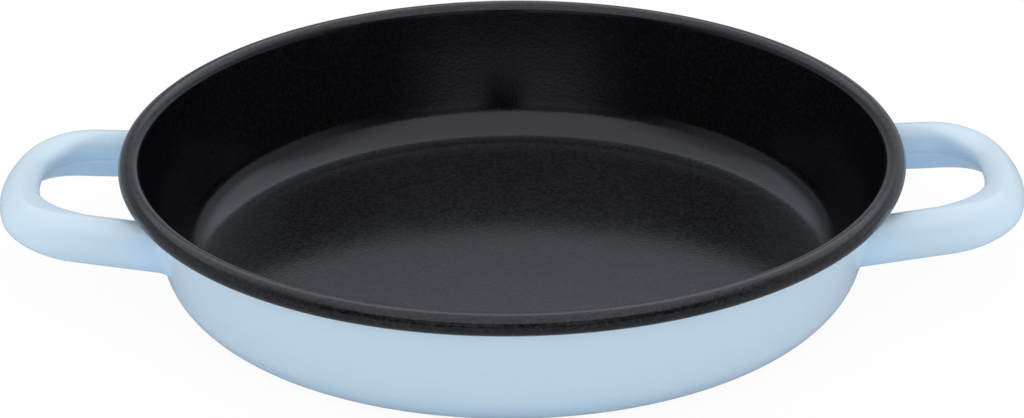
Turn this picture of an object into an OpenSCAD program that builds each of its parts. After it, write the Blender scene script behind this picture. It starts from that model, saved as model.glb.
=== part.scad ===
// Enamelled egg pan: a drawn bowl with a rolled rim and two hollow loop handles.
// +X runs along the handles and +Z up, with the origin at the centre of the base.

/* [Bowl] */
// Diameter over the rolled rim
rim_d = 260; // [200:1:320]
// Height from the base to the top of the rim
pan_h = 47; // [45:0.5:70]
// Thickness of the enamelled sheet
sheet_t = 1.6; // [1.2:0.1:2]
// Lean of the wall away from upright, in degrees
wall_lean = 13.8; // [4:0.2:16]
// Radius of the bend between base and wall, measured outside
base_bend_r = 16; // [8:0.2:20]

/* [Rolled rim] */
// Diameter of the bead that the sheet is rolled into
bead_d = 7.2; // [6:0.1:9.4]
// Space left between the rolled edge and the wall
curl_gap = 0.8; // [0.5:0.1:1.5]

/* [Handle loop] */
// How far the middle line of the loop reaches past the rim
loop_reach = 33.8; // [28:0.2:45]
// Distance between the middle lines of the two legs, where they pass under the rim
leg_spacing = 70.6; // [62:0.2:80]
// Angle by which each leg turns inward on its way out, in degrees
leg_splay = 7.2; // [0:0.2:12]
// Radius of the loop's bowed outer end, on the middle line
end_r = 66; // [56:1:120]
// Radius of the loop's two corners, on the middle line
corner_r = 22; // [15:0.2:24]
// Height of the middle line above the base, where it passes under the rim
loop_z = 28.8; // [26:0.2:30.8]
// Upward tilt of the loop, in degrees
loop_tilt = 5; // [0:0.2:8]

/* [Handle tube] */
// Height of the tube along the legs
leg_h = 16.4; // [12:0.2:17]
// Thickness of the tube along the legs
leg_w = 12.2; // [7:0.2:13]
// Height of the tube at the grip
grip_h = 13.4; // [9:0.2:17]
// Thickness of the tube at the grip
grip_w = 11.6; // [7:0.2:13]
// Squareness of the tube's oval section: 2 is an ellipse
section_power = 2.1; // [2:0.1:3.5]
// Lean of the inner face over the finger gap at the grip, as a share of the tube's half width
grip_lean = 0.65; // [0:0.05:0.7]
// Lean of the outer face of the grip towards its lower edge, as a share of the half width
grip_heel = 0.4; // [0:0.05:0.45]
// Extra fullness of the tube's top on the inside of the bends
bend_fill = 2.6; // [0:0.1:3.5]
// Thickness of the handle's enamelled sheet
tube_t = 1.5; // [1:0.1:2]
// Width of the seam line along the inner face
seam_w = 0.9; // [0.6:0.1:1.5]
// Depth of the seam line
seam_d = 0.35; // [0.2:0.05:0.6]
// Distance from the wall over which the welded ends flare out
flare_len = 2.4; // [1:0.1:4]
// Extra half width of the welded ends at the wall
flare_out = 0.9; // [0.3:0.1:1.5]
// Clearance between the handle's ends and the wall
weld_clear = 0.05; // [0.02:0.01:0.2]

/* [Hidden] */

DARK = "#26282b";
BLUE = "#bcd3e6";
ROUND_FN = 180;
RIM_R = rim_d / 2;
BEAD_R = bead_d / 2;
EPS = 1;

// Outward normal of the leaning wall and the direction up along it, as [radius, height]
WALL_N = [cos(wall_lean), -sin(wall_lean)];
WALL_U = [sin(wall_lean), cos(wall_lean)];
// Centre of the bead: the wall's inner face runs up tangent to the bead
BEAD_C = [RIM_R - BEAD_R, pan_h - BEAD_R];
// Where the outer and inner faces of the wall stand level with the centre of the bead
WALL_OUT_TOP = BEAD_C - (BEAD_R - sheet_t) * WALL_N;
WALL_IN_TOP = BEAD_C - BEAD_R * WALL_N;
// Centre of the base bend, which touches the base plane and the outer face of the wall
BEND_DROP = WALL_OUT_TOP[1] - base_bend_r;
BEND_C = [WALL_OUT_TOP[0] - (BEND_DROP * WALL_U[0] + base_bend_r) / WALL_U[1], base_bend_r];
// Radius of the wall's outer face where it would meet the base plane
WALL_FOOT_R = WALL_OUT_TOP[0] - WALL_OUT_TOP[1] * tan(wall_lean);

// Sides of the tube's section, and rings of the tube on each side of the grip's middle
SECTION_SIDES = 28;
RING_STEPS = 19;
// Distance of each flaring ring from the wall, as a share of flare_len
FLARE_STEPS = [0, 0.25, 0.6, 1];
// How far the taper and the fuller bend reach beyond the corner's arc, along the middle line
TAPER_LEAD = 2;
BEND_LEAD = 4;
// Distance inward from the middle line within which the fuller bend fades out
BEND_FADE = 3;

// Cross-section of the bowl up to its outer face, from the axis to the middle of the bead
module bowl_outer_2d() {
    polygon([
        [0, 0],
        [BEND_C[0], 0],
        BEND_C,
        BEND_C + base_bend_r * WALL_N,
        WALL_OUT_TOP,
        WALL_IN_TOP,
        [0, WALL_IN_TOP[1]],
    ]);
    translate(BEND_C) circle(r = base_bend_r, $fn = ROUND_FN);
}

// Cross-section of the space inside a face that lies at a given depth under the outer face
module bowl_space_2d(depth) {
    polygon([
        [0, depth],
        [BEND_C[0], depth],
        BEND_C,
        BEND_C + (base_bend_r - depth) * WALL_N,
        WALL_OUT_TOP - depth * WALL_N + EPS * WALL_U,
        [0, WALL_OUT_TOP[1] + EPS * WALL_U[1]],
    ]);
    translate(BEND_C) circle(r = base_bend_r - depth, $fn = ROUND_FN);
}

// Cross-section of the rolled bead: a ring whose free edge stops short of the wall
module bead_2d() {
    translate(BEAD_C) difference() {
        circle(r = BEAD_R, $fn = ROUND_FN);
        circle(r = BEAD_R - sheet_t, $fn = ROUND_FN);
        curl_slot_2d();
    }
}

// The slot between the rolled edge and the wall, measured from the centre of the bead
module curl_slot_2d() {
    slot_in = -(BEAD_R - sheet_t) * WALL_N;
    slot_out = slot_in + curl_gap * WALL_N;
    polygon([slot_in, slot_out, slot_out - bead_d * WALL_U, slot_in - bead_d * WALL_U]);
}

// Cross-section of the whole bowl, one sheet from the centre of the base to the rolled edge
module bowl_2d() {
    difference() {
        bowl_outer_2d();
        bowl_space_2d(sheet_t);
    }
    bead_2d();
}

// The outer layer of the sheet down to a given depth, from the centre of the base up to the bead
module outside_layer_2d(depth) {
    intersection() {
        difference() {
            bowl_outer_2d();
            bowl_space_2d(depth);
        }
        square([RIM_R, BEAD_C[1] - BEAD_R]);
    }
}

// The blue coat takes the outer half of the sheet and laps over the dark rest by a quarter
module pan_body() {
    color(BLUE) rotate_extrude($fn = ROUND_FN) outside_layer_2d(sheet_t / 2);
    color(DARK) rotate_extrude($fn = ROUND_FN) difference() {
        bowl_2d();
        outside_layer_2d(sheet_t / 4);
    }
}

// The loop's middle line lies in a flat plane: two legs, two corner arcs and one bowed end arc.
// Direction of a leg on its way out, and the normal on its outer side
LEG_D = [cos(leg_splay), -sin(leg_splay)];
LEG_N = [sin(leg_splay), cos(leg_splay)];
END_C = [RIM_R + loop_reach - end_r, 0];
// The corner's centre slides along a line beside the leg until its arc touches the end arc inside
SLIDE_FROM = [RIM_R, leg_spacing / 2] - corner_r * LEG_N;
SLIDE_B = (SLIDE_FROM - END_C) * LEG_D;
SLIDE_C = (SLIDE_FROM - END_C) * (SLIDE_FROM - END_C) - (end_r - corner_r) * (end_r - corner_r);
CORNER_C = SLIDE_FROM + (sqrt(SLIDE_B * SLIDE_B - SLIDE_C) - SLIDE_B) * LEG_D;
// Angles of the loop's outward normal on the leg and where the corner meets the end arc
LEG_ANGLE = 90 - leg_splay;
MEET_ANGLE = atan2(CORNER_C[1], CORNER_C[0] - END_C[0]);
// Lengths of half the end arc and of one corner along the middle line
END_LEN = end_r * MEET_ANGLE * PI / 180;
CORNER_LEN = corner_r * (LEG_ANGLE - MEET_ANGLE) * PI / 180;

// Tilts a point of the loop's plane, given with its height above that plane, about the rim line
function tilted(p, up) = [
    RIM_R + (p[0] - RIM_R) * cos(loop_tilt) - up * sin(loop_tilt),
    p[1],
    loop_z + (p[0] - RIM_R) * sin(loop_tilt) + up * cos(loop_tilt),
];

function mirrored(p, side) = [p[0], side * p[1]];

function radial(angle) = [cos(angle), sin(angle)];

// Angle of the outward normal at a distance from the grip's middle, on one side of it
function normal_angle(distance) =
    distance < END_LEN ? MEET_ANGLE * distance / END_LEN
    : MEET_ANGLE + (LEG_ANGLE - MEET_ANGLE) * min((distance - END_LEN) / CORNER_LEN, 1);

// Point of the middle line at a distance from the grip's middle, on one side of it
function middle_point(distance) =
    let (normal = radial(normal_angle(distance)))
    distance < END_LEN ? END_C + end_r * normal
    : CORNER_C + corner_r * normal - max(distance - END_LEN - CORNER_LEN, 0) * LEG_D;

function clamped(share) = max(0, min(1, share));

// 0 on the legs and 1 at the grip, with a soft start and a soft end
function grip_share(distance) =
    let (share = clamped((END_LEN + CORNER_LEN + TAPER_LEAD - distance) / (CORNER_LEN + TAPER_LEAD)))
    share * share * (3 - 2 * share);

// 0 on the legs and at the grip, and 1 in the middle of the bend
function bend_share(distance) =
    let (share = clamped((END_LEN + CORNER_LEN + BEND_LEAD - distance) / (CORNER_LEN + 2 * BEND_LEAD)))
    4 * share * (1 - share);

function signed_power(value, power) = sign(value) * pow(abs(value), power);

// One point of the tube's section, as [outward, up]: an oval that leans inward at the grip, so
// that its top reaches over the finger gap, and that is fuller at the top inside the bends
function section_point(half_w, half_h, angle, distance) =
    let (out = half_w * signed_power(cos(angle), 2 / section_power))
    let (rise = signed_power(sin(angle), 2 / section_power))
    let (lean = grip_share(distance) * rise * (out < 0 ? grip_lean : -grip_heel))
    let (filled = bend_fill * bend_share(distance) * (1 + rise) / 2 * clamped(-out / BEND_FADE))
    [out * (1 + lean) - filled, half_h * rise];

// A section of the tube at a distance from the grip's middle: a closed list of points that starts
// on the seam at its inner face. inset is the depth under the outer skin, dent the depth of the
// seam line, and flare what the section gains all round
function section(distance, inset, dent, flare) =
    let (grip = grip_share(distance))
    let (half_w = (leg_w + (grip_w - leg_w) * grip) / 2 - inset + flare)
    let (half_h = (leg_h + (grip_h - leg_h) * grip) / 2 - inset + flare)
    let (seam_a = asin(pow(seam_w / 2 / half_h, section_power / 2)))
    let (step = (360 - 2 * seam_a) / (SECTION_SIDES - 2))
    concat(
        [section_point(half_w, half_h, 180, distance) + [dent, 0]],
        [for (i = [0 : SECTION_SIDES - 2])
            section_point(half_w, half_h, 180 + seam_a + i * step, distance)]
    );

// A ring of the tube across the middle line
function ring_across(distance, side, outline) =
    let (centre = mirrored(middle_point(distance), side))
    let (normal = mirrored(radial(normal_angle(distance)), side))
    [for (p = outline) tilted(centre + p[0] * normal, p[1])];

// How far back along a leg's direction the wall's outer face, a cone, lies from a point
function wall_offset(from, along) =
    let (lean = tan(wall_lean))
    let (wall_r = WALL_FOOT_R + weld_clear / cos(wall_lean) + from[2] * lean)
    let (a = along[0] * along[0] + along[1] * along[1] - pow(along[2] * lean, 2))
    let (b = from[0] * along[0] + from[1] * along[1] - along[2] * lean * wall_r)
    let (c = from[0] * from[0] + from[1] * from[1] - wall_r * wall_r)
    (sqrt(b * b - a * c) - b) / a;

// A ring that follows the curve of the wall at a distance from it
function ring_at_wall(away, side, outline) =
    let (along = tilted([RIM_R, 0] + mirrored(LEG_D, side), 0) - tilted([RIM_R, 0], 0))
    [
        for (p = ring_across(END_LEN + CORNER_LEN + BEND_LEAD, side, outline))
            p + (wall_offset(p, along) + away) * along
    ];

// The flaring rings at one weld, ordered out from the wall for side 1 and in towards it for -1
function weld_rings(side, inset, dent, flares) =
    let (last = len(FLARE_STEPS) - 1)
    [
        for (i = [0 : last])
            let (share = FLARE_STEPS[side > 0 ? i : last - i])
            let (flare = flares * flare_out * (1 - share) * (1 - share))
            ring_at_wall(share * flare_len, side,
                section(END_LEN + CORNER_LEN + BEND_LEAD, inset, dent, flare))
    ];

// All rings of one skin of the tube, from one weld round the loop to the other
function tube_rings(inset, dent, flares) = concat(
    weld_rings(1, inset, dent, flares),
    [
        for (i = [-RING_STEPS : RING_STEPS])
            let (distance = abs(i) / RING_STEPS * (END_LEN + CORNER_LEN + BEND_LEAD))
            ring_across(distance, i < 0 ? 1 : -1, section(distance, inset, dent, 0))
    ],
    weld_rings(-1, inset, dent, flares)
);

// Joins lists of points into one list
function joined(lists) = [for (list = lists) each list];

// Two triangles for a four-sided face
function split(a, b, c, d) = [[a, b, c], [a, c, d]];

// The hollow tube: an outer skin, an inner skin and the two annular ends on the wall
module handle_tube() {
    outer = tube_rings(0, seam_d, 1);
    inner = tube_rings(tube_t, 0, 0);
    sides = SECTION_SIDES;
    rings = len(outer);
    inner_from = rings * sides;
    last = (rings - 1) * sides;
    points = concat(joined(outer), joined(inner));
    outer_faces = joined([for (k = [0 : rings - 2], i = [0 : sides - 1])
        let (a = k * sides + i, b = k * sides + (i + 1) % sides)
        split(a, a + sides, b + sides, b)]);
    inner_faces = joined([for (k = [0 : rings - 2], i = [0 : sides - 1])
        let (a = inner_from + k * sides + i, b = inner_from + k * sides + (i + 1) % sides)
        split(a, b, b + sides, a + sides)]);
    end_faces = joined([for (i = [0 : sides - 1])
        let (next = (i + 1) % sides)
        concat(
            split(i, next, inner_from + next, inner_from + i),
            split(last + i, inner_from + last + i, inner_from + last + next, last + next)
        )]);
    polyhedron(points = points, faces = concat(outer_faces, inner_faces, end_faces), convexity = 6);
}

module right_handle() {
    color(BLUE) handle_tube();
}

module left_handle() {
    color(BLUE) mirror([1, 0, 0]) handle_tube();
}

pan_body();
left_handle();
right_handle();
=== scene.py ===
"""Dresses the enamelled egg pan: a glossy black inside and rim, pale blue outside and handles."""

import math

import bmesh
import bpy
from bpy.props import FloatProperty, FloatVectorProperty, IntProperty, PointerProperty
from mathutils import Matrix, Vector


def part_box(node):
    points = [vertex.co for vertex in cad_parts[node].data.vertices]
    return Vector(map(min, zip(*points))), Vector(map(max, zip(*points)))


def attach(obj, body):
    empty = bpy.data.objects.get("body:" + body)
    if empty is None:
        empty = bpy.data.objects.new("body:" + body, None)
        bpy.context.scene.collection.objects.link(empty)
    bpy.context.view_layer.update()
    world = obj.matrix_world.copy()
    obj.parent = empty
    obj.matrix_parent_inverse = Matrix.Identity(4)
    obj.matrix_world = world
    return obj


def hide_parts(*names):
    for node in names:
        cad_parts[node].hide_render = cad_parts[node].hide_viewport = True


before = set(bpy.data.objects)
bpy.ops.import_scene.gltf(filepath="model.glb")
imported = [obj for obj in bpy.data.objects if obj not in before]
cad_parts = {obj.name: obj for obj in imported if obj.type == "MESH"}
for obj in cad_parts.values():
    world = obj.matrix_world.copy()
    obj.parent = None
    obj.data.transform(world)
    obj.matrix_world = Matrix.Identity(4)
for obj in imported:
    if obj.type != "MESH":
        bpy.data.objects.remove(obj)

bl_info = {
    "name": "Enamel egg pan",
    "version": (1, 0, 0),
    "blender": (4, 5, 0),
    "location": "View3D > Sidebar > Egg pan",
    "description": "Builds the coats, handles and studio of an enamelled egg pan",
    "category": "Add Mesh",
}

PICTURE_WIDTH = 1024
MM = 0.001
PAN_LOW, PAN_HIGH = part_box("pan_body")
PAN_TOP = PAN_HIGH[2]
RIM_RADIUS = min(PAN_HIGH[0] - PAN_LOW[0], PAN_HIGH[1] - PAN_LOW[1]) / 2
ENAMEL_IOR = 1.5
WHITE = (1.0, 1.0, 1.0)


def length(name, description, default):
    """A size in metres."""
    return FloatProperty(
        name=name, description=description, default=default, subtype="DISTANCE", unit="LENGTH",
        min=0.0, precision=5,
    )


def angle(name, description, degrees):
    """An angle, given here in degrees and kept in radians."""
    return FloatProperty(
        name=name, description=description, default=math.radians(degrees), subtype="ANGLE",
        unit="ROTATION",
    )


def ratio(name, description, default, high=1.0):
    """A plain number without a unit."""
    return FloatProperty(name=name, description=description, default=default, min=0.0, max=high)


def colour(name, description, default):
    """A colour as linear red, green and blue."""
    return FloatVectorProperty(
        name=name, description=description, default=default, subtype="COLOR", size=3, min=0.0,
        max=1.0,
    )


class BowlSizes(bpy.types.PropertyGroup):
    """Sizes of the drawn bowl and its rolled rim."""

    sheet: length("Sheet", "Thickness of the enamelled sheet", 1.6 * MM)
    bead_radius: length("Bead radius", "Radius of the rolled rim's section", 3.6 * MM)
    wall_lean: angle("Wall lean", "Lean of the wall away from upright", 13.8)
    bend_radius: length("Bend radius", "Outer radius between base and wall", 16 * MM)
    bow: angle("Bow", "Extra lean of the inner face at the wall's foot, taken off at its top", 2.5)
    curl_gap: length("Curl gap", "Space between the rolled edge and the wall", 0.8 * MM)
    crown: length("Crown", "Rise of the pressed base in its middle", 0.7 * MM)
    turns: IntProperty(name="Turns", description="Steps round the bowl", default=360, min=24)


class HandleSizes(bpy.types.PropertyGroup):
    """Sizes of the handle loop's middle line and of its tube."""

    reach: length("Reach", "Reach of the middle line past the rim", 33.79 * MM)
    leg_spacing: length("Leg spacing", "Distance between the legs under the rim", 70.6 * MM)
    splay: angle("Splay", "Inward turn of each leg on its way out", 7.2)
    end_radius: length("End radius", "Radius of the bowed outer end", 66 * MM)
    corner_radius: length("Corner radius", "Radius of the two corners", 22 * MM)
    height: length("Height", "Height of the middle line under the rim", 28.8 * MM)
    tilt: angle("Tilt", "Upward tilt of the loop", 5.0)
    leg_height: length("Leg height", "Height of the tube along the legs", 16.4 * MM)
    leg_width: length("Leg width", "Thickness of the tube along the legs", 12.2 * MM)
    grip_height: length("Grip height", "Height of the tube at the grip", 13.4 * MM)
    grip_width: length("Grip width", "Thickness of the tube at the grip", 11.6 * MM)
    squareness: ratio("Squareness", "Power of the oval section, where 2 is an ellipse", 2.1, 6.0)
    lean: ratio("Lean", "Lean of the inner face over the finger gap", 0.65)
    heel: ratio("Heel", "Lean of the outer face towards its lower edge", 0.4)
    fill: length("Fill", "Extra fullness of the tube's top inside the bends", 2.6 * MM)
    seam_width: length("Seam width", "Width of the seam line along the inner face", 1.0 * MM)
    seam_depth: length("Seam depth", "Depth of the seam line", 0.16 * MM)
    flare_length: length("Flare length", "Length of the flared weld", 2.4 * MM)
    flare_width: length("Flare width", "Extra half width of the weld at the wall", 0.9 * MM)
    weld_depth: length("Weld depth", "How far the drawn end sinks into the wall", 0.3 * MM)


class Finish(bpy.types.PropertyGroup):
    """Colours of the enamel."""

    black: colour("Black enamel", "Inside and rim", (0.0011, 0.0013, 0.0017))
    black_haze: colour(
        "Black haze", "Grain, strongest on the rubbed floor and the rim", (0.0085, 0.0087, 0.0097))
    black_speck: colour("Black speck", "Fine grey specks in the black", (0.020, 0.021, 0.024))
    blue: colour("Blue enamel", "Outside and handles", (0.50, 0.645, 0.775))
    # Painted highlight: this paler blue on faces that look up stands in for the light on top; over
    # edges and in random clouds the coat is really thin and pale.
    blue_sheen_and_thin: colour(
        "Thin blue", "Where the coat drained thin, on top and over edges", (0.535, 0.645, 0.735))
    # Painted shade: this deeper blue stands in for shade and blue bounce light below, on the
    # handle faces towards the finger gap and at the welds under the bead.
    blue_shade: colour(
        "Deep blue", "Where the coat pooled, below and inside the handle loops",
        (0.46, 0.68, 0.90))


class Studio(bpy.types.PropertyGroup):
    """Camera and light."""

    azimuth: angle("Azimuth", "Camera's turn round the pan", -0.15)
    elevation: angle("Elevation", "Camera's height above the horizon", 24.95)
    roll: angle("Roll", "Camera's roll", -0.485)
    distance: length("Distance", "From the camera to the point it looks at", 1250 * MM)
    aim_x: FloatProperty(
        name="Aim X", description="Where the camera looks, across", default=-0.14 * MM,
        unit="LENGTH", precision=5,
    )
    aim_z: length("Aim Z", "Where the camera looks, above the floor", 22.97 * MM)
    focal_pixels: FloatProperty(
        name="Focal length", description="Focal length in pixels of the picture", default=3747.0,
        min=1.0,
    )
    horizon: ratio(
        "Horizon", "Brightness of the floor far in front of the pan, as gloss shows it", 0.03)
    ambient: ratio("Ambient", "Strength of the tent's light on matt surfaces", 1.2, 4.0)
    overhead: ratio("Overhead", "Radiance of the softbox over the pan", 0.22, 10.0)
    front: ratio("Front", "Radiance of the softbox behind the camera", 0.6, 10.0)


class EggPanSettings(bpy.types.PropertyGroup):
    """All settings of the pan."""

    bowl: PointerProperty(type=BowlSizes)
    handle: PointerProperty(type=HandleSizes)
    finish: PointerProperty(type=Finish)
    studio: PointerProperty(type=Studio)


def settings():
    """The pan's property groups, which are kept on the scene."""
    return bpy.context.scene.egg_pan


class Wire:
    """A shader socket that can be used in arithmetic; each operator adds one Math node."""

    def __init__(self, shader, socket):
        self.shader = shader
        self.socket = socket

    def maths(self, operation, *values):
        """One Math node over numbers and wires."""
        return self.shader.node(
            "ShaderNodeMath", {"operation": operation}, dict(enumerate(values)))

    def __add__(self, other):
        return self.maths("ADD", self, other)

    def __radd__(self, other):
        return self.maths("ADD", other, self)

    def __sub__(self, other):
        return self.maths("SUBTRACT", self, other)

    def __rsub__(self, other):
        return self.maths("SUBTRACT", other, self)

    def __mul__(self, other):
        return self.maths("MULTIPLY", self, other)

    def __rmul__(self, other):
        return self.maths("MULTIPLY", other, self)

    def __abs__(self):
        return self.maths("ABSOLUTE", self)

    def soft_step(self, low, high):
        """0 below low and 1 above high, with soft ends."""
        return self.shader.node(
            "ShaderNodeMapRange", {"interpolation_type": "SMOOTHSTEP"}, {0: self, 1: low, 2: high})


class Shader:
    """Builds the node tree of one material or of the world."""

    def __init__(self, owner):
        owner.use_nodes = True
        self.tree = owner.node_tree
        self.tree.nodes.clear()

    def node(self, kind, settings=None, sockets=None, output=0):
        """Adds a node: its settings first, then the values or links of its sockets."""
        made = self.tree.nodes.new(kind)
        for key, value in (settings or {}).items():
            setattr(made, key, value)
        for key, value in (sockets or {}).items():
            if isinstance(value, Wire):
                self.tree.links.new(value.socket, made.inputs[key])
            else:
                made.inputs[key].default_value = value
        return Wire(self, made.outputs[output]) if made.outputs else None

    def mix(self, factor, first, second):
        """A colour between two colours; 6, 7 and 2 are the node's colour sockets."""
        return self.node(
            "ShaderNodeMix", {"data_type": "RGBA"},
            {0: factor, 6: opaque(first), 7: opaque(second)}, output=2)

    def noise(self, place, scale, detail):
        """Soft random values from 0 to 1 over the surface; scale is in lumps per metre."""
        return self.node(
            "ShaderNodeTexNoise", None, {"Vector": place, "Scale": scale, "Detail": detail})

    def apart(self, vector, axis):
        """One number of a vector: 0 across the pan, 1 from front to back, 2 up."""
        return self.node("ShaderNodeSeparateXYZ", None, {0: vector}, output=axis)

    def span(self, vector):
        """The length of a vector."""
        return self.node(
            "ShaderNodeVectorMath", {"operation": "LENGTH"}, {0: vector}, output="Value")

    def place(self):
        """The point's own place on the object, in metres."""
        return self.node("ShaderNodeTexCoord", output="Object")

    def facing(self, axis):
        """How far the surface faces along an axis of the object, from -1 to 1."""
        return self.apart(self.node("ShaderNodeTexCoord", output="Normal"), axis)

    def ray(self, name):
        """1 for rays of one kind, such as Is Camera Ray, and 0 for the rest."""
        return self.node("ShaderNodeLightPath", output=name)

    def seen(self):
        """1 for rays that show the background: to the camera, in gloss and through glass."""
        return (self.ray("Is Camera Ray") + self.ray("Is Glossy Ray")
                + self.ray("Is Transmission Ray"))

    def bump(self, height, metres, normal=None):
        """Surface relief: height from 0 to 1 stands for the given depth in metres."""
        sockets = {"Height": height, "Distance": metres}
        if normal:
            sockets["Normal"] = normal
        return self.node("ShaderNodeBump", None, sockets)

    def enamel(self, colour_wire, roughness, relief):
        """The material's surface: smooth glassy enamel."""
        surface = self.node("ShaderNodeBsdfPrincipled", None, {
            "Base Color": colour_wire, "Roughness": roughness, "Normal": relief,
            "IOR": ENAMEL_IOR})
        self.node("ShaderNodeOutputMaterial", None, {"Surface": surface})


def opaque(value):
    """A colour with full alpha, or a wire left as it is."""
    return value if isinstance(value, Wire) else (*value, 1.0)


def grey(level):
    """A colour with the same red, green and blue."""
    return (level, level, level)


def black_enamel():
    """Speckled black enamel: glassy, with orange peel, and hazier on its floor and rim."""
    finish = settings().finish
    made = bpy.data.materials.new("black_enamel")
    shader = Shader(made)
    place = shader.place()
    grain = shader.noise(place, scale=800.0, detail=2.0)
    specks = shader.noise(place, scale=1100.0, detail=1.0).soft_step(0.55, 0.75)
    mottle = shader.noise(place, scale=55.0, detail=3.0)
    peel = shader.noise(place, scale=950.0, detail=1.0)
    wave = shader.noise(place, scale=42.0, detail=1.0)
    floor = shader.facing(2).soft_step(0.85, 0.99)
    rim = shader.span(place).soft_step(130.5 * MM, 132.5 * MM)

    haze = grain.soft_step(0.32, 0.68) * (0.25 + 0.9 * floor + 1.1 * rim)
    coat = shader.mix(haze, finish.black, finish.black_haze)
    coat = shader.mix(specks * (0.2 + 0.3 * floor + 0.6 * rim), coat, finish.black_speck)
    relief = shader.bump(wave, 0.06 * MM)
    relief = shader.bump(peel, 0.02 * MM, normal=relief)
    shader.enamel(coat, 0.09 + 0.04 * mottle + 0.05 * grain, relief)
    return made


def blue_enamel(name, gap_middle=None):
    """Pale blue enamel: glossy, with a painted pale sheen on top and painted deeper-blue shade
    below.

    A handle gives the distance from the pan's axis to the middle of its finger gap: its coat
    also gets painted deeper-blue shade on the side that faces the gap, and at the welds.
    """
    finish = settings().finish
    made = bpy.data.materials.new(name)
    shader = Shader(made)
    place = shader.place()
    cloud = shader.noise(place, scale=26.0, detail=3.0)
    grain = shader.noise(place, scale=1700.0, detail=1.0)
    peel = shader.noise(place, scale=420.0, detail=2.0)
    wave = shader.noise(place, scale=36.0, detail=1.0)
    to_right, to_back, to_top = (shader.facing(axis) for axis in range(3))

    # Painted shade: deeper blue on faces that look down, on the handle faces towards the finger
    # gap and near the welds, where shade and blue bounce light fall.
    shaded = 1 - to_top.soft_step(-1.0, -0.3)
    if gap_middle:
        across, along = shader.apart(place, 0), shader.apart(place, 1)
        gap_way = across.maths("SIGN", across) * gap_middle - across
        gap_shade = (gap_way * to_right - along * to_back).soft_step(4 * MM, 30 * MM)
        weld_shade = 1 - shader.span(place).soft_step(126 * MM, 140 * MM)
        shaded = shaded + gap_shade + 0.6 * weld_shade
    # Painted highlight: faces that look up are made paler as if lit from above; the paling over
    # edges is the coat's real thin spots, and the clouds are random tone.
    lit_top = to_top.soft_step(0.1, 0.9)
    on_edge = shader.node("ShaderNodeNewGeometry", output="Pointiness").soft_step(0.5, 0.62)
    clouded = cloud.soft_step(0.3, 0.7)
    paled = lit_top * 0.7 + on_edge * 0.2 + clouded * 0.15

    coat = shader.mix(shaded, finish.blue, finish.blue_shade)
    coat = shader.mix(paled, coat, finish.blue_sheen_and_thin)
    relief = shader.bump(wave, 0.12 * MM)
    relief = shader.bump(peel, 0.012 * MM, normal=relief)
    shader.enamel(coat, 0.13 + 0.05 * cloud + 0.03 * grain, relief)
    return made


def studio_paper():
    """White paper that keeps shadows, looks white to the camera and is dimmer in gloss."""
    shadow_share = 0.07
    gloss_near_pan = (0.30, 0.32, 0.35)
    gloss_far_in_front = grey(settings().studio.horizon)
    made = bpy.data.materials.new("studio_paper")
    shader = Shader(made)
    place = shader.place()
    grain = shader.noise(place, scale=30.0, detail=4.0)
    paper = shader.node("ShaderNodeBsdfDiffuse", None, {
        "Color": shader.mix(grain, grey(0.89), grey(0.91)), "Roughness": 1.0})

    wide = abs(shader.apart(place, 0))
    in_front = (0 - shader.apart(place, 1) - wide * 0.8).soft_step(-0.1, 0.2)
    away = shader.span(place).soft_step(0.2, 0.5)
    in_gloss = shader.mix(away * in_front, gloss_near_pan, gloss_far_in_front)
    glow = shader.node("ShaderNodeEmission", None, {
        "Color": shader.mix(shader.ray("Is Camera Ray"), in_gloss, WHITE), "Strength": 1.0})
    surface = shader.node(
        "ShaderNodeMixShader", None, {0: shader.seen() * (1 - shadow_share), 1: paper, 2: glow})
    shader.node("ShaderNodeOutputMaterial", None, {"Surface": surface})
    return made


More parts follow.
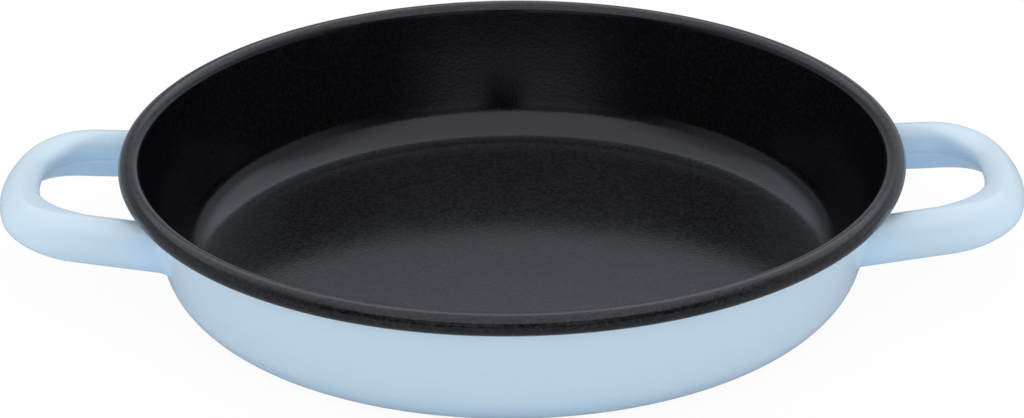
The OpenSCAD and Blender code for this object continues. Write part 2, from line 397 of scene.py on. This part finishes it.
class Tent:
    """The light tent round the pan: plain white to the camera, nearly even on matt surfaces,
    and a bright roof over dimmer walls in gloss.

    A place in the tent is the direction towards it: side is its sine to the right, back away
    from the camera, and rise upwards, each from -1 to 1. Soft edges are given in these.
    """

    BACK_TINT = (0.91, 0.99, 1.09)
    FRONT_TINT = (0.96, 0.965, 1.09)
    # How far right of the middle the camera stands, as the dark place in the front wall.
    CAMERA_SIDE = 0.05
    # Brightness of each part in gloss, or what it adds or takes away, where 1 is white.
    ROOF, ROOF_ENDS = 1.12, 0.6
    FRONT_WALL, FRONT_SCREEN, SIDE_WALLS = 0.02, 0.46, 0.36
    BACK_WALL, BACK_SLOPE, BACK_BAND, BACK_ROOF, BACK_PANEL = 0.37, 0.16, 0.08, 0.7, 0.4
    # Brightness of each part as it lights matt surfaces.
    MATT_MIDDLE, MATT_SIDES, MATT_TOP = 1.0, 1.5, 0.93

    def __init__(self, world):
        self.shader = Shader(world)
        way = self.shader.node("ShaderNodeTexCoord", output="Generated")
        self.side, self.back, self.rise = (self.shader.apart(way, axis) for axis in range(3))
        self.wide = abs(self.side)

    def in_front(self):
        """Brightness of the half of the tent where the camera stands."""
        wide, rise = self.wide, self.rise
        screen = (1 - wide.soft_step(0.3, 0.68)) * rise.soft_step(-0.01, 0.18)
        screen = screen * (1 - 0.5 * rise.soft_step(0.12, 0.4))
        ends = wide.soft_step(0.4, 0.8) * (1 - rise.soft_step(0.75, 0.95))
        camera = 1 - abs(self.side - self.CAMERA_SIDE).soft_step(0.05, 0.15)
        camera = camera * rise.soft_step(0.118, 0.158) * (1 - rise.soft_step(0.42, 0.5))
        walls = self.FRONT_WALL + self.FRONT_SCREEN * screen
        walls = walls + self.SIDE_WALLS * self.back.soft_step(-0.8, -0.1)
        roof = self.ROOF - self.ROOF_ENDS * ends
        return (walls + (roof - walls) * rise.soft_step(0.5, 0.59)) * (1 - camera)

    def behind(self):
        """Brightness of the half of the tent behind the pan."""
        wide, rise = self.wide, self.rise
        panel = (1 - wide.soft_step(0.15, 0.45)) * rise.soft_step(0.5, 0.65)
        panel = panel * (1 - rise.soft_step(0.8, 0.92))
        wall = self.BACK_WALL + self.BACK_SLOPE * self.side.soft_step(-0.25, 0.25)
        wall = wall - self.BACK_BAND * rise.soft_step(0.25, 0.38)
        return wall + self.BACK_ROOF * rise.soft_step(0.4, 0.56) + self.BACK_PANEL * panel

    def in_gloss(self):
        """The tent's colour as gloss shows it."""
        turned = self.back.soft_step(0.0, 0.35)
        front = self.in_front()
        level = front + (self.behind() - front) * turned
        return self.shader.node("ShaderNodeCombineColor", None, {
            channel: level * (front_tint + (back_tint - front_tint) * turned)
            for channel, (front_tint, back_tint)
            in enumerate(zip(self.FRONT_TINT, self.BACK_TINT))})

    def on_matt(self):
        """The tent's colour as it lights matt surfaces."""
        walls = self.shader.mix(
            self.wide.soft_step(0.3, 0.95), grey(self.MATT_MIDDLE), grey(self.MATT_SIDES))
        return self.shader.mix(self.rise.soft_step(-0.1, 0.7), walls, grey(self.MATT_TOP))

    def light(self, ambient):
        """Links the tent up as the world's light."""
        shader = self.shader
        shown = shader.node("ShaderNodeBackground", None, {
            "Color": shader.mix(shader.ray("Is Camera Ray"), self.in_gloss(), WHITE),
            "Strength": 1.0})
        unseen = shader.node("ShaderNodeBackground", None, {
            "Color": self.on_matt(), "Strength": ambient})
        surface = shader.node(
            "ShaderNodeMixShader", None, {0: shader.seen(), 1: unseen, 2: shown})
        shader.node("ShaderNodeOutputWorld", None, {"Surface": surface})


def add_object(name, bm, material):
    """Turns a bmesh into a smooth object with one material."""
    bmesh.ops.recalc_face_normals(bm, faces=bm.faces)
    for face in bm.faces:
        face.smooth = True
    mesh = bpy.data.meshes.new(name)
    bm.to_mesh(mesh)
    bm.free()
    mesh.materials.append(material)
    made = bpy.data.objects.new(name, mesh)
    bpy.context.scene.collection.objects.link(made)
    return made


def arc(centre, radius, start, end, steps):
    """Points of an arc in the (radius, height) plane, with its ends; angles are in radians."""
    return [
        (centre[0] + radius * math.cos(start + (end - start) * i / steps),
         centre[1] + radius * math.sin(start + (end - start) * i / steps))
        for i in range(steps + 1)
    ]


def straight(start, end, steps):
    """Points between two ends, without the ends themselves."""
    return [
        (start[0] + (end[0] - start[0]) * i / steps, start[1] + (end[1] - start[1]) * i / steps)
        for i in range(1, steps)
    ]


def clamp(share):
    """A share kept between 0 and 1."""
    return min(max(share, 0.0), 1.0)


class BowlProfile:
    """The bowl's cross-section from its sizes, as lists of (radius, height)."""

    BASE_STEPS = 24
    INNER_BEND_STEPS, MIDDLE_BEND_STEPS, OUTER_BEND_STEPS = 40, 10, 28
    INNER_WALL_STEPS, OUTER_WALL_STEPS, BARE_WALL_STEPS = 24, 10, 3
    BEAD_STEPS, EDGE_STEPS, CURL_STEPS = 72, 8, 30

    def __init__(self, sizes):
        self.sheet = sizes.sheet
        self.lean = sizes.wall_lean
        self.bend_radius = sizes.bend_radius
        self.bead_radius = sizes.bead_radius
        self.gap = sizes.curl_gap
        self.bow = sizes.bow
        self.crown = sizes.crown
        self.out = Vector((math.cos(self.lean), -math.sin(self.lean)))
        self.up = Vector((math.sin(self.lean), math.cos(self.lean)))
        self.bead = Vector((RIM_RADIUS - self.bead_radius, PAN_TOP - self.bead_radius))
        self.wall_top = self.bead - (self.bead_radius - self.sheet) * self.out
        drop = self.wall_top - self.bend_radius * self.out
        fall = (drop.y - self.bend_radius) / self.up.y
        self.bend = drop - fall * self.up
        self.coat_top = self.bead.y - self.bead_radius

    def wall_at(self, height, depth):
        """A point of the wall at a height of the outer face and a depth under that face."""
        along = (height - self.wall_top.y) / self.up.y
        return self.wall_top + along * self.up - depth * self.out

    def floor_to_wall(self, depth, steps, bow=0.0):
        """A face of the sheet from the axis round the bend to the wall, at a depth."""
        base = [(0.0, depth)] + straight((0.0, depth), (self.bend.x, depth), self.BASE_STEPS)
        raised = [(r, z + self.crown * (1 - (r / self.bend.x) ** 2) ** 2) for r, z in base]
        return raised + arc(
            self.bend, self.bend_radius - depth, -math.pi / 2, -self.lean - bow, steps)

    def bowed_wall(self, foot, top, steps):
        """Points of the slightly curved inner face of the wall, without its ends."""
        foot = Vector(foot)
        reach = Vector(top) - foot
        belly = reach.length * math.tan(self.bow / 2) / 2
        points = []
        for i in range(1, steps):
            bulge = belly * 4 * i * (steps - i) / steps**2
            points.append(tuple(foot + reach * i / steps + self.out * bulge))
        return points

    def bead_loop(self):
        """Round the bead from the wall's inner face to the rolled edge, and back inside it."""
        middle = self.bead_radius - self.sheet / 2
        reach = self.bead_radius - 1.5 * self.sheet - self.gap
        end = math.acos(reach / middle) - math.pi - self.lean
        start = math.pi - self.lean + self.bow
        edge = self.bead + middle * Vector((math.cos(end), math.sin(end)))
        outside = arc(self.bead, self.bead_radius, start, end, self.BEAD_STEPS)
        tip = arc(edge, self.sheet / 2, end, end - math.pi, self.EDGE_STEPS)
        inside = arc(self.bead, self.bead_radius - self.sheet, end, start, self.CURL_STEPS)
        return outside + tip[1:-1] + inside

    def between_coats(self):
        """From the blue coat's top edge down the middle of the sheet, back to the axis."""
        edge = [tuple(self.wall_at(self.coat_top, depth)) for depth in (0.0, self.sheet / 2)]
        return edge + self.floor_to_wall(self.sheet / 2, self.MIDDLE_BEND_STEPS)[::-1]

    def dark(self):
        """The inner half of the sheet, the whole bead and the wall above the blue coat."""
        foot = self.floor_to_wall(self.sheet, self.INNER_BEND_STEPS, self.bow)
        bead = self.bead_loop()
        below = self.between_coats()
        return (
            foot + self.bowed_wall(foot[-1], bead[0], self.INNER_WALL_STEPS) + bead
            + straight(self.wall_top, below[0], self.BARE_WALL_STEPS) + below)

    def blue(self):
        """The outer half of the sheet up to the bead."""
        foot = self.floor_to_wall(0.0, self.OUTER_BEND_STEPS)
        inside = self.between_coats()
        return foot + straight(foot[-1], inside[0], self.OUTER_WALL_STEPS) + inside


def revolve(profile, steps):
    """A closed solid turned from a profile that starts and ends on the axis."""
    bm = bmesh.new()
    poles = [bm.verts.new((0.0, 0.0, profile[0][1])), bm.verts.new((0.0, 0.0, profile[-1][1]))]
    rings = []
    for i in range(steps):
        turn = 2 * math.pi * i / steps
        rings.append([
            bm.verts.new((r * math.cos(turn), r * math.sin(turn), z)) for r, z in profile[1:-1]])
    for i in range(steps):
        here, there = rings[i], rings[(i + 1) % steps]
        bm.faces.new((poles[0], here[0], there[0]))
        bm.faces.new((poles[1], there[-1], here[-1]))
        for k in range(len(here) - 1):
            bm.faces.new((here[k], here[k + 1], there[k + 1], there[k]))
    return bm


class HandleLoop:
    """The handle's middle line and tube sections: two legs, two corners and a bowed end."""

    TAPER_LEAD = 2 * MM
    BEND_LEAD = 4 * MM
    BEND_FADE = 3 * MM
    # The seam line's groove, as shares of its half width and of its depth.
    GROOVE = (
        (-1.0, 0.0), (-0.62, 0.35), (-0.3, 0.85), (0.0, 1.0), (0.3, 0.85), (0.62, 0.35),
        (1.0, 0.0))
    SIDES, LOOP_STEPS, WELD_STEPS = 72, 70, 10
    # Powers that space the weld's rings, closer at the wall, and curve its flare, and how much
    # wider than at the wall's face the flare is inside the wall.
    WELD_CROWDING, WELD_CURVE, WELD_ROOT = 1.6, 2.4, 1.15

    def __init__(self, sizes, bowl):
        self.sizes = sizes
        self.lean = bowl.lean
        self.wall_foot = bowl.wall_top.x - bowl.wall_top.y * math.tan(bowl.lean)
        self.leg_way = Vector((math.cos(sizes.splay), -math.sin(sizes.splay)))
        leg_side = Vector((math.sin(sizes.splay), math.cos(sizes.splay)))
        self.end_centre = Vector((RIM_RADIUS + sizes.reach - sizes.end_radius, 0.0))
        # The corner's centre moves out along the leg until its arc meets the end's arc.
        start = Vector((RIM_RADIUS, sizes.leg_spacing / 2)) - sizes.corner_radius * leg_side
        gap = start - self.end_centre
        b = gap.dot(self.leg_way)
        c = gap.length_squared - (sizes.end_radius - sizes.corner_radius) ** 2
        self.corner_centre = start + (math.sqrt(b * b - c) - b) * self.leg_way
        self.leg_angle = math.pi / 2 - sizes.splay
        self.meet_angle = math.atan2(
            self.corner_centre.y, self.corner_centre.x - self.end_centre.x)
        self.end_length = sizes.end_radius * self.meet_angle
        self.corner_length = sizes.corner_radius * (self.leg_angle - self.meet_angle)
        self.arcs = self.end_length + self.corner_length + self.BEND_LEAD

    def normal(self, distance):
        """Outward direction at a distance from the grip's middle."""
        if distance < self.end_length:
            turn = self.meet_angle * distance / self.end_length
        else:
            share = min((distance - self.end_length) / self.corner_length, 1.0)
            turn = self.meet_angle + (self.leg_angle - self.meet_angle) * share
        return Vector((math.cos(turn), math.sin(turn)))

    def middle(self, distance):
        """Point of the middle line at a distance from the grip's middle."""
        if distance < self.end_length:
            return self.end_centre + self.sizes.end_radius * self.normal(distance)
        past = max(distance - self.end_length - self.corner_length, 0.0)
        return (self.corner_centre + self.sizes.corner_radius * self.normal(distance)
                - past * self.leg_way)

    def tilted(self, x, y, up):
        """A point of the loop's own plane, given with its height above it, in the pan's frame."""
        cos, sin = math.cos(self.sizes.tilt), math.sin(self.sizes.tilt)
        return Vector((
            RIM_RADIUS + (x - RIM_RADIUS) * cos - up * sin,
            y,
            self.sizes.height + (x - RIM_RADIUS) * sin + up * cos,
        ))

    def grip_share(self, distance):
        """0 on the legs and 1 at the grip."""
        share = clamp(
            (self.end_length + self.corner_length + self.TAPER_LEAD - distance)
            / (self.corner_length + self.TAPER_LEAD))
        return share * share * (3 - 2 * share)

    def bend_share(self, distance):
        """0 on the legs and at the grip, and 1 in the middle of the bend."""
        share = clamp((self.arcs - distance) / (self.corner_length + 2 * self.BEND_LEAD))
        return 4 * share * (1 - share)

    def section(self, distance, flare):
        """The tube's outline as (outward, up), starting at the seam on the inner face."""
        sizes = self.sizes
        grip = self.grip_share(distance)
        half_w = (sizes.leg_width + (sizes.grip_width - sizes.leg_width) * grip) / 2 + flare
        half_h = (sizes.leg_height + (sizes.grip_height - sizes.leg_height) * grip) / 2 + flare
        power = 2 / sizes.squareness
        seam = math.asin((sizes.seam_width / 2 / half_h) ** (1 / power))
        turns = [(math.pi + seam * at, sizes.seam_depth * dent) for at, dent in self.GROOVE]
        rest = 2 * math.pi - 2 * seam
        turns += [(math.pi + seam + rest * i / self.SIDES, 0.0) for i in range(1, self.SIDES)]
        points = []
        for turn, dent in turns:
            cos, sin = math.cos(turn), math.sin(turn)
            out = half_w * math.copysign(abs(cos) ** power, cos)
            rise = math.copysign(abs(sin) ** power, sin)
            tip = grip * rise * (sizes.lean if out < 0 else -sizes.heel)
            fill = clamp(-out / self.BEND_FADE) * (1 + rise) / 2
            fill *= sizes.fill * self.bend_share(distance)
            points.append((out * (1 + tip) - fill + dent, half_h * rise))
        return points

    def ring(self, distance, side, outline):
        """A ring of the tube across the middle line, on the back (1) or front (-1) side."""
        centre, normal = self.middle(distance), self.normal(distance)
        return [
            self.tilted(centre.x + out * normal.x, side * (centre.y + out * normal.y), up)
            for out, up in outline
        ]

    def ring_at_wall(self, away, side, outline):
        """A ring that follows the curve of the wall at a distance from it."""
        start = self.tilted(RIM_RADIUS, 0.0, 0.0)
        along = self.tilted(RIM_RADIUS + self.leg_way.x, side * self.leg_way.y, 0.0) - start
        lean = math.tan(self.lean)
        ring = []
        for point in self.ring(self.arcs, side, outline):
            # The line along the leg meets the cone of the wall where a, b and c say.
            wall = self.wall_foot + point.z * lean
            a = along.x ** 2 + along.y ** 2 - (along.z * lean) ** 2
            b = point.x * along.x + point.y * along.y - along.z * lean * wall
            c = point.x ** 2 + point.y ** 2 - wall ** 2
            ring.append(point + ((math.sqrt(b * b - a * c) - b) / a + away) * along)
        return ring

    def weld(self, side, swell):
        """The rings of one flared weld, from inside the wall's sheet outwards."""
        flare_width = self.sizes.flare_width * swell
        flare_length = self.sizes.flare_length * swell
        rings = [self.ring_at_wall(
            -self.sizes.weld_depth, side, self.section(self.arcs, flare_width * self.WELD_ROOT))]
        for i in range(self.WELD_STEPS + 1):
            share = (i / self.WELD_STEPS) ** self.WELD_CROWDING
            flare = flare_width * (1 - share) ** self.WELD_CURVE
            rings.append(self.ring_at_wall(
                share * flare_length, side, self.section(self.arcs, flare)))
        return rings

    def rings(self, back_swell, front_swell):
        """All rings from the back weld round the loop to the front weld."""
        made = self.weld(1, back_swell)
        for i in range(-self.LOOP_STEPS, self.LOOP_STEPS + 1):
            distance = abs(i) / self.LOOP_STEPS * self.arcs
            made.append(self.ring(distance, 1 if i < 0 else -1, self.section(distance, 0.0)))
        return made + self.weld(-1, front_swell)[::-1]


def tube(rings, mirror):
    """A closed tube through the rings, mirrored across the pan where asked."""
    bm = bmesh.new()
    side = -1.0 if mirror else 1.0
    made = [[bm.verts.new((side * p.x, p.y, p.z)) for p in ring] for ring in rings]
    count = len(made[0])
    for here, there in zip(made, made[1:]):
        for i in range(count):
            j = (i + 1) % count
            bm.faces.new((here[i], here[j], there[j], there[i]))
    bm.faces.new(made[0])
    bm.faces.new(made[-1])
    return bm


class EGGPAN_OT_add_bowl(bpy.types.Operator):
    """Turn the black inside with its rolled rim, and the blue coat outside it"""

    bl_idname = "eggpan.add_bowl"
    bl_label = "Bowl"

    def execute(self, context):
        sizes = settings().bowl
        profile = BowlProfile(sizes)
        dark = add_object("black_inside_and_rim", revolve(profile.dark(), sizes.turns),
                          black_enamel())
        blue = add_object("blue_outside", revolve(profile.blue(), sizes.turns),
                          blue_enamel("blue_bowl_enamel"))
        for piece, slot in ((dark, "dark_enamel"), (blue, "blue_enamel")):
            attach(piece, "root")
            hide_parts("pan_body")
        return {"FINISHED"}


class EGGPAN_OT_add_handles(bpy.types.Operator):
    """Sweep the two loop handles and seat them on the wall"""

    bl_idname = "eggpan.add_handles"
    bl_label = "Handles"

    # How far the back and the front weld of each handle swell, where 1 is the usual flare.
    SWELLS = {"right_handle": (1.0, 0.8), "left_handle": (1.0, 1.5)}

    def execute(self, context):
        sizes = settings()
        loop = HandleLoop(sizes.handle, BowlProfile(sizes.bowl))
        material = blue_enamel("blue_handle_enamel", RIM_RADIUS + sizes.handle.reach / 3)
        for node, (back, front) in self.SWELLS.items():
            swept = tube(loop.rings(back, front), mirror=node == "left_handle")
            piece = add_object(node + "_tube", swept, material)
            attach(piece, "root")
            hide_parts(node)
        return {"FINISHED"}


class EGGPAN_OT_add_studio(bpy.types.Operator):
    """Set up the white floor, the light tent, the soft lamps and the camera"""

    bl_idname = "eggpan.add_studio"
    bl_label = "Studio"

    HALF_FLOOR = 4.0
    NEAREST_SEEN = 0.05

    def execute(self, context):
        studio = settings().studio
        context.scene.view_settings.view_transform = "Standard"
        world = bpy.data.worlds.new("studio_light")
        Tent(world).light(studio.ambient)
        context.scene.world = world
        bm = bmesh.new()
        bmesh.ops.create_grid(bm, x_segments=4, y_segments=4, size=self.HALF_FLOOR)
        floor = add_object("studio_floor", bm, studio_paper())
        self.add_lamp("overhead_softbox", place=(0.0, 0.25, 1.15), size=(1.5, 1.0),
                      radiance=studio.overhead)
        self.add_lamp("front_softbox", place=(0.0, -1.5, 1.15), size=(0.7, 0.5),
                      radiance=studio.front)
        self.add_camera(context)
        return {"FINISHED"}

    def add_lamp(self, name, place, size, radiance):
        """A softbox aimed at the pan; radiance 1 is as bright as white paper in full light."""
        light = bpy.data.lights.new(name, "AREA")
        light.shape = "RECTANGLE"
        light.size, light.size_y = size
        light.energy = radiance * math.pi * size[0] * size[1]
        lamp = bpy.data.objects.new(name, light)
        lamp.location = place
        lamp.visible_glossy = False
        lamp.rotation_euler = (Vector() - Vector(place)).to_track_quat("-Z", "Y").to_euler()
        bpy.context.scene.collection.objects.link(lamp)

    def add_camera(self, context):
        """The camera where the photograph was taken from."""
        studio = settings().studio
        turn, rise, roll = studio.azimuth, studio.elevation, studio.roll
        right = Vector((math.cos(turn), math.sin(turn), 0.0))
        ahead = Vector((-math.sin(turn) * math.cos(rise), math.cos(turn) * math.cos(rise),
                        -math.sin(rise)))
        up = right.cross(ahead)
        across = right * math.cos(roll) + up * math.sin(roll)
        above = up * math.cos(roll) - right * math.sin(roll)
        aim = Vector((studio.aim_x, 0.0, studio.aim_z))
        data = bpy.data.cameras.new("photo_camera")
        data.lens = studio.focal_pixels * data.sensor_width / PICTURE_WIDTH
        data.clip_start = self.NEAREST_SEEN
        camera = bpy.data.objects.new("photo_camera", data)
        camera.matrix_world = (
            Matrix.Translation(aim - studio.distance * ahead)
            @ Matrix((across, above, -ahead)).transposed().to_4x4())
        context.scene.collection.objects.link(camera)
        context.scene.camera = camera


class EGGPAN_PT_panel(bpy.types.Panel):
    """The pan's operators and sizes"""

    bl_idname = "EGGPAN_PT_panel"
    bl_label = "Egg pan"
    bl_space_type = "VIEW_3D"
    bl_region_type = "UI"
    bl_category = "Egg pan"

    def draw(self, context):
        for operator in OPERATORS:
            self.layout.operator(operator.bl_idname)
        for group in (settings().bowl, settings().handle, settings().finish, settings().studio):
            box = self.layout.box()
            for key in group.__annotations__:
                box.prop(group, key)


OPERATORS = (EGGPAN_OT_add_bowl, EGGPAN_OT_add_handles, EGGPAN_OT_add_studio)
CLASSES = (BowlSizes, HandleSizes, Finish, Studio, EggPanSettings, *OPERATORS, EGGPAN_PT_panel)


def register():
    """Registers the classes and keeps their settings on the scene."""
    for made in CLASSES:
        bpy.utils.register_class(made)
    bpy.types.Scene.egg_pan = PointerProperty(type=EggPanSettings)


def unregister():
    """Undoes register."""
    del bpy.types.Scene.egg_pan
    for made in reversed(CLASSES):
        bpy.utils.unregister_class(made)


def main():
    """Builds the pan and its studio."""
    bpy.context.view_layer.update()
    register()
    bpy.ops.eggpan.add_bowl()
    bpy.ops.eggpan.add_handles()
    bpy.ops.eggpan.add_studio()


if __name__ == "__main__":
    main()
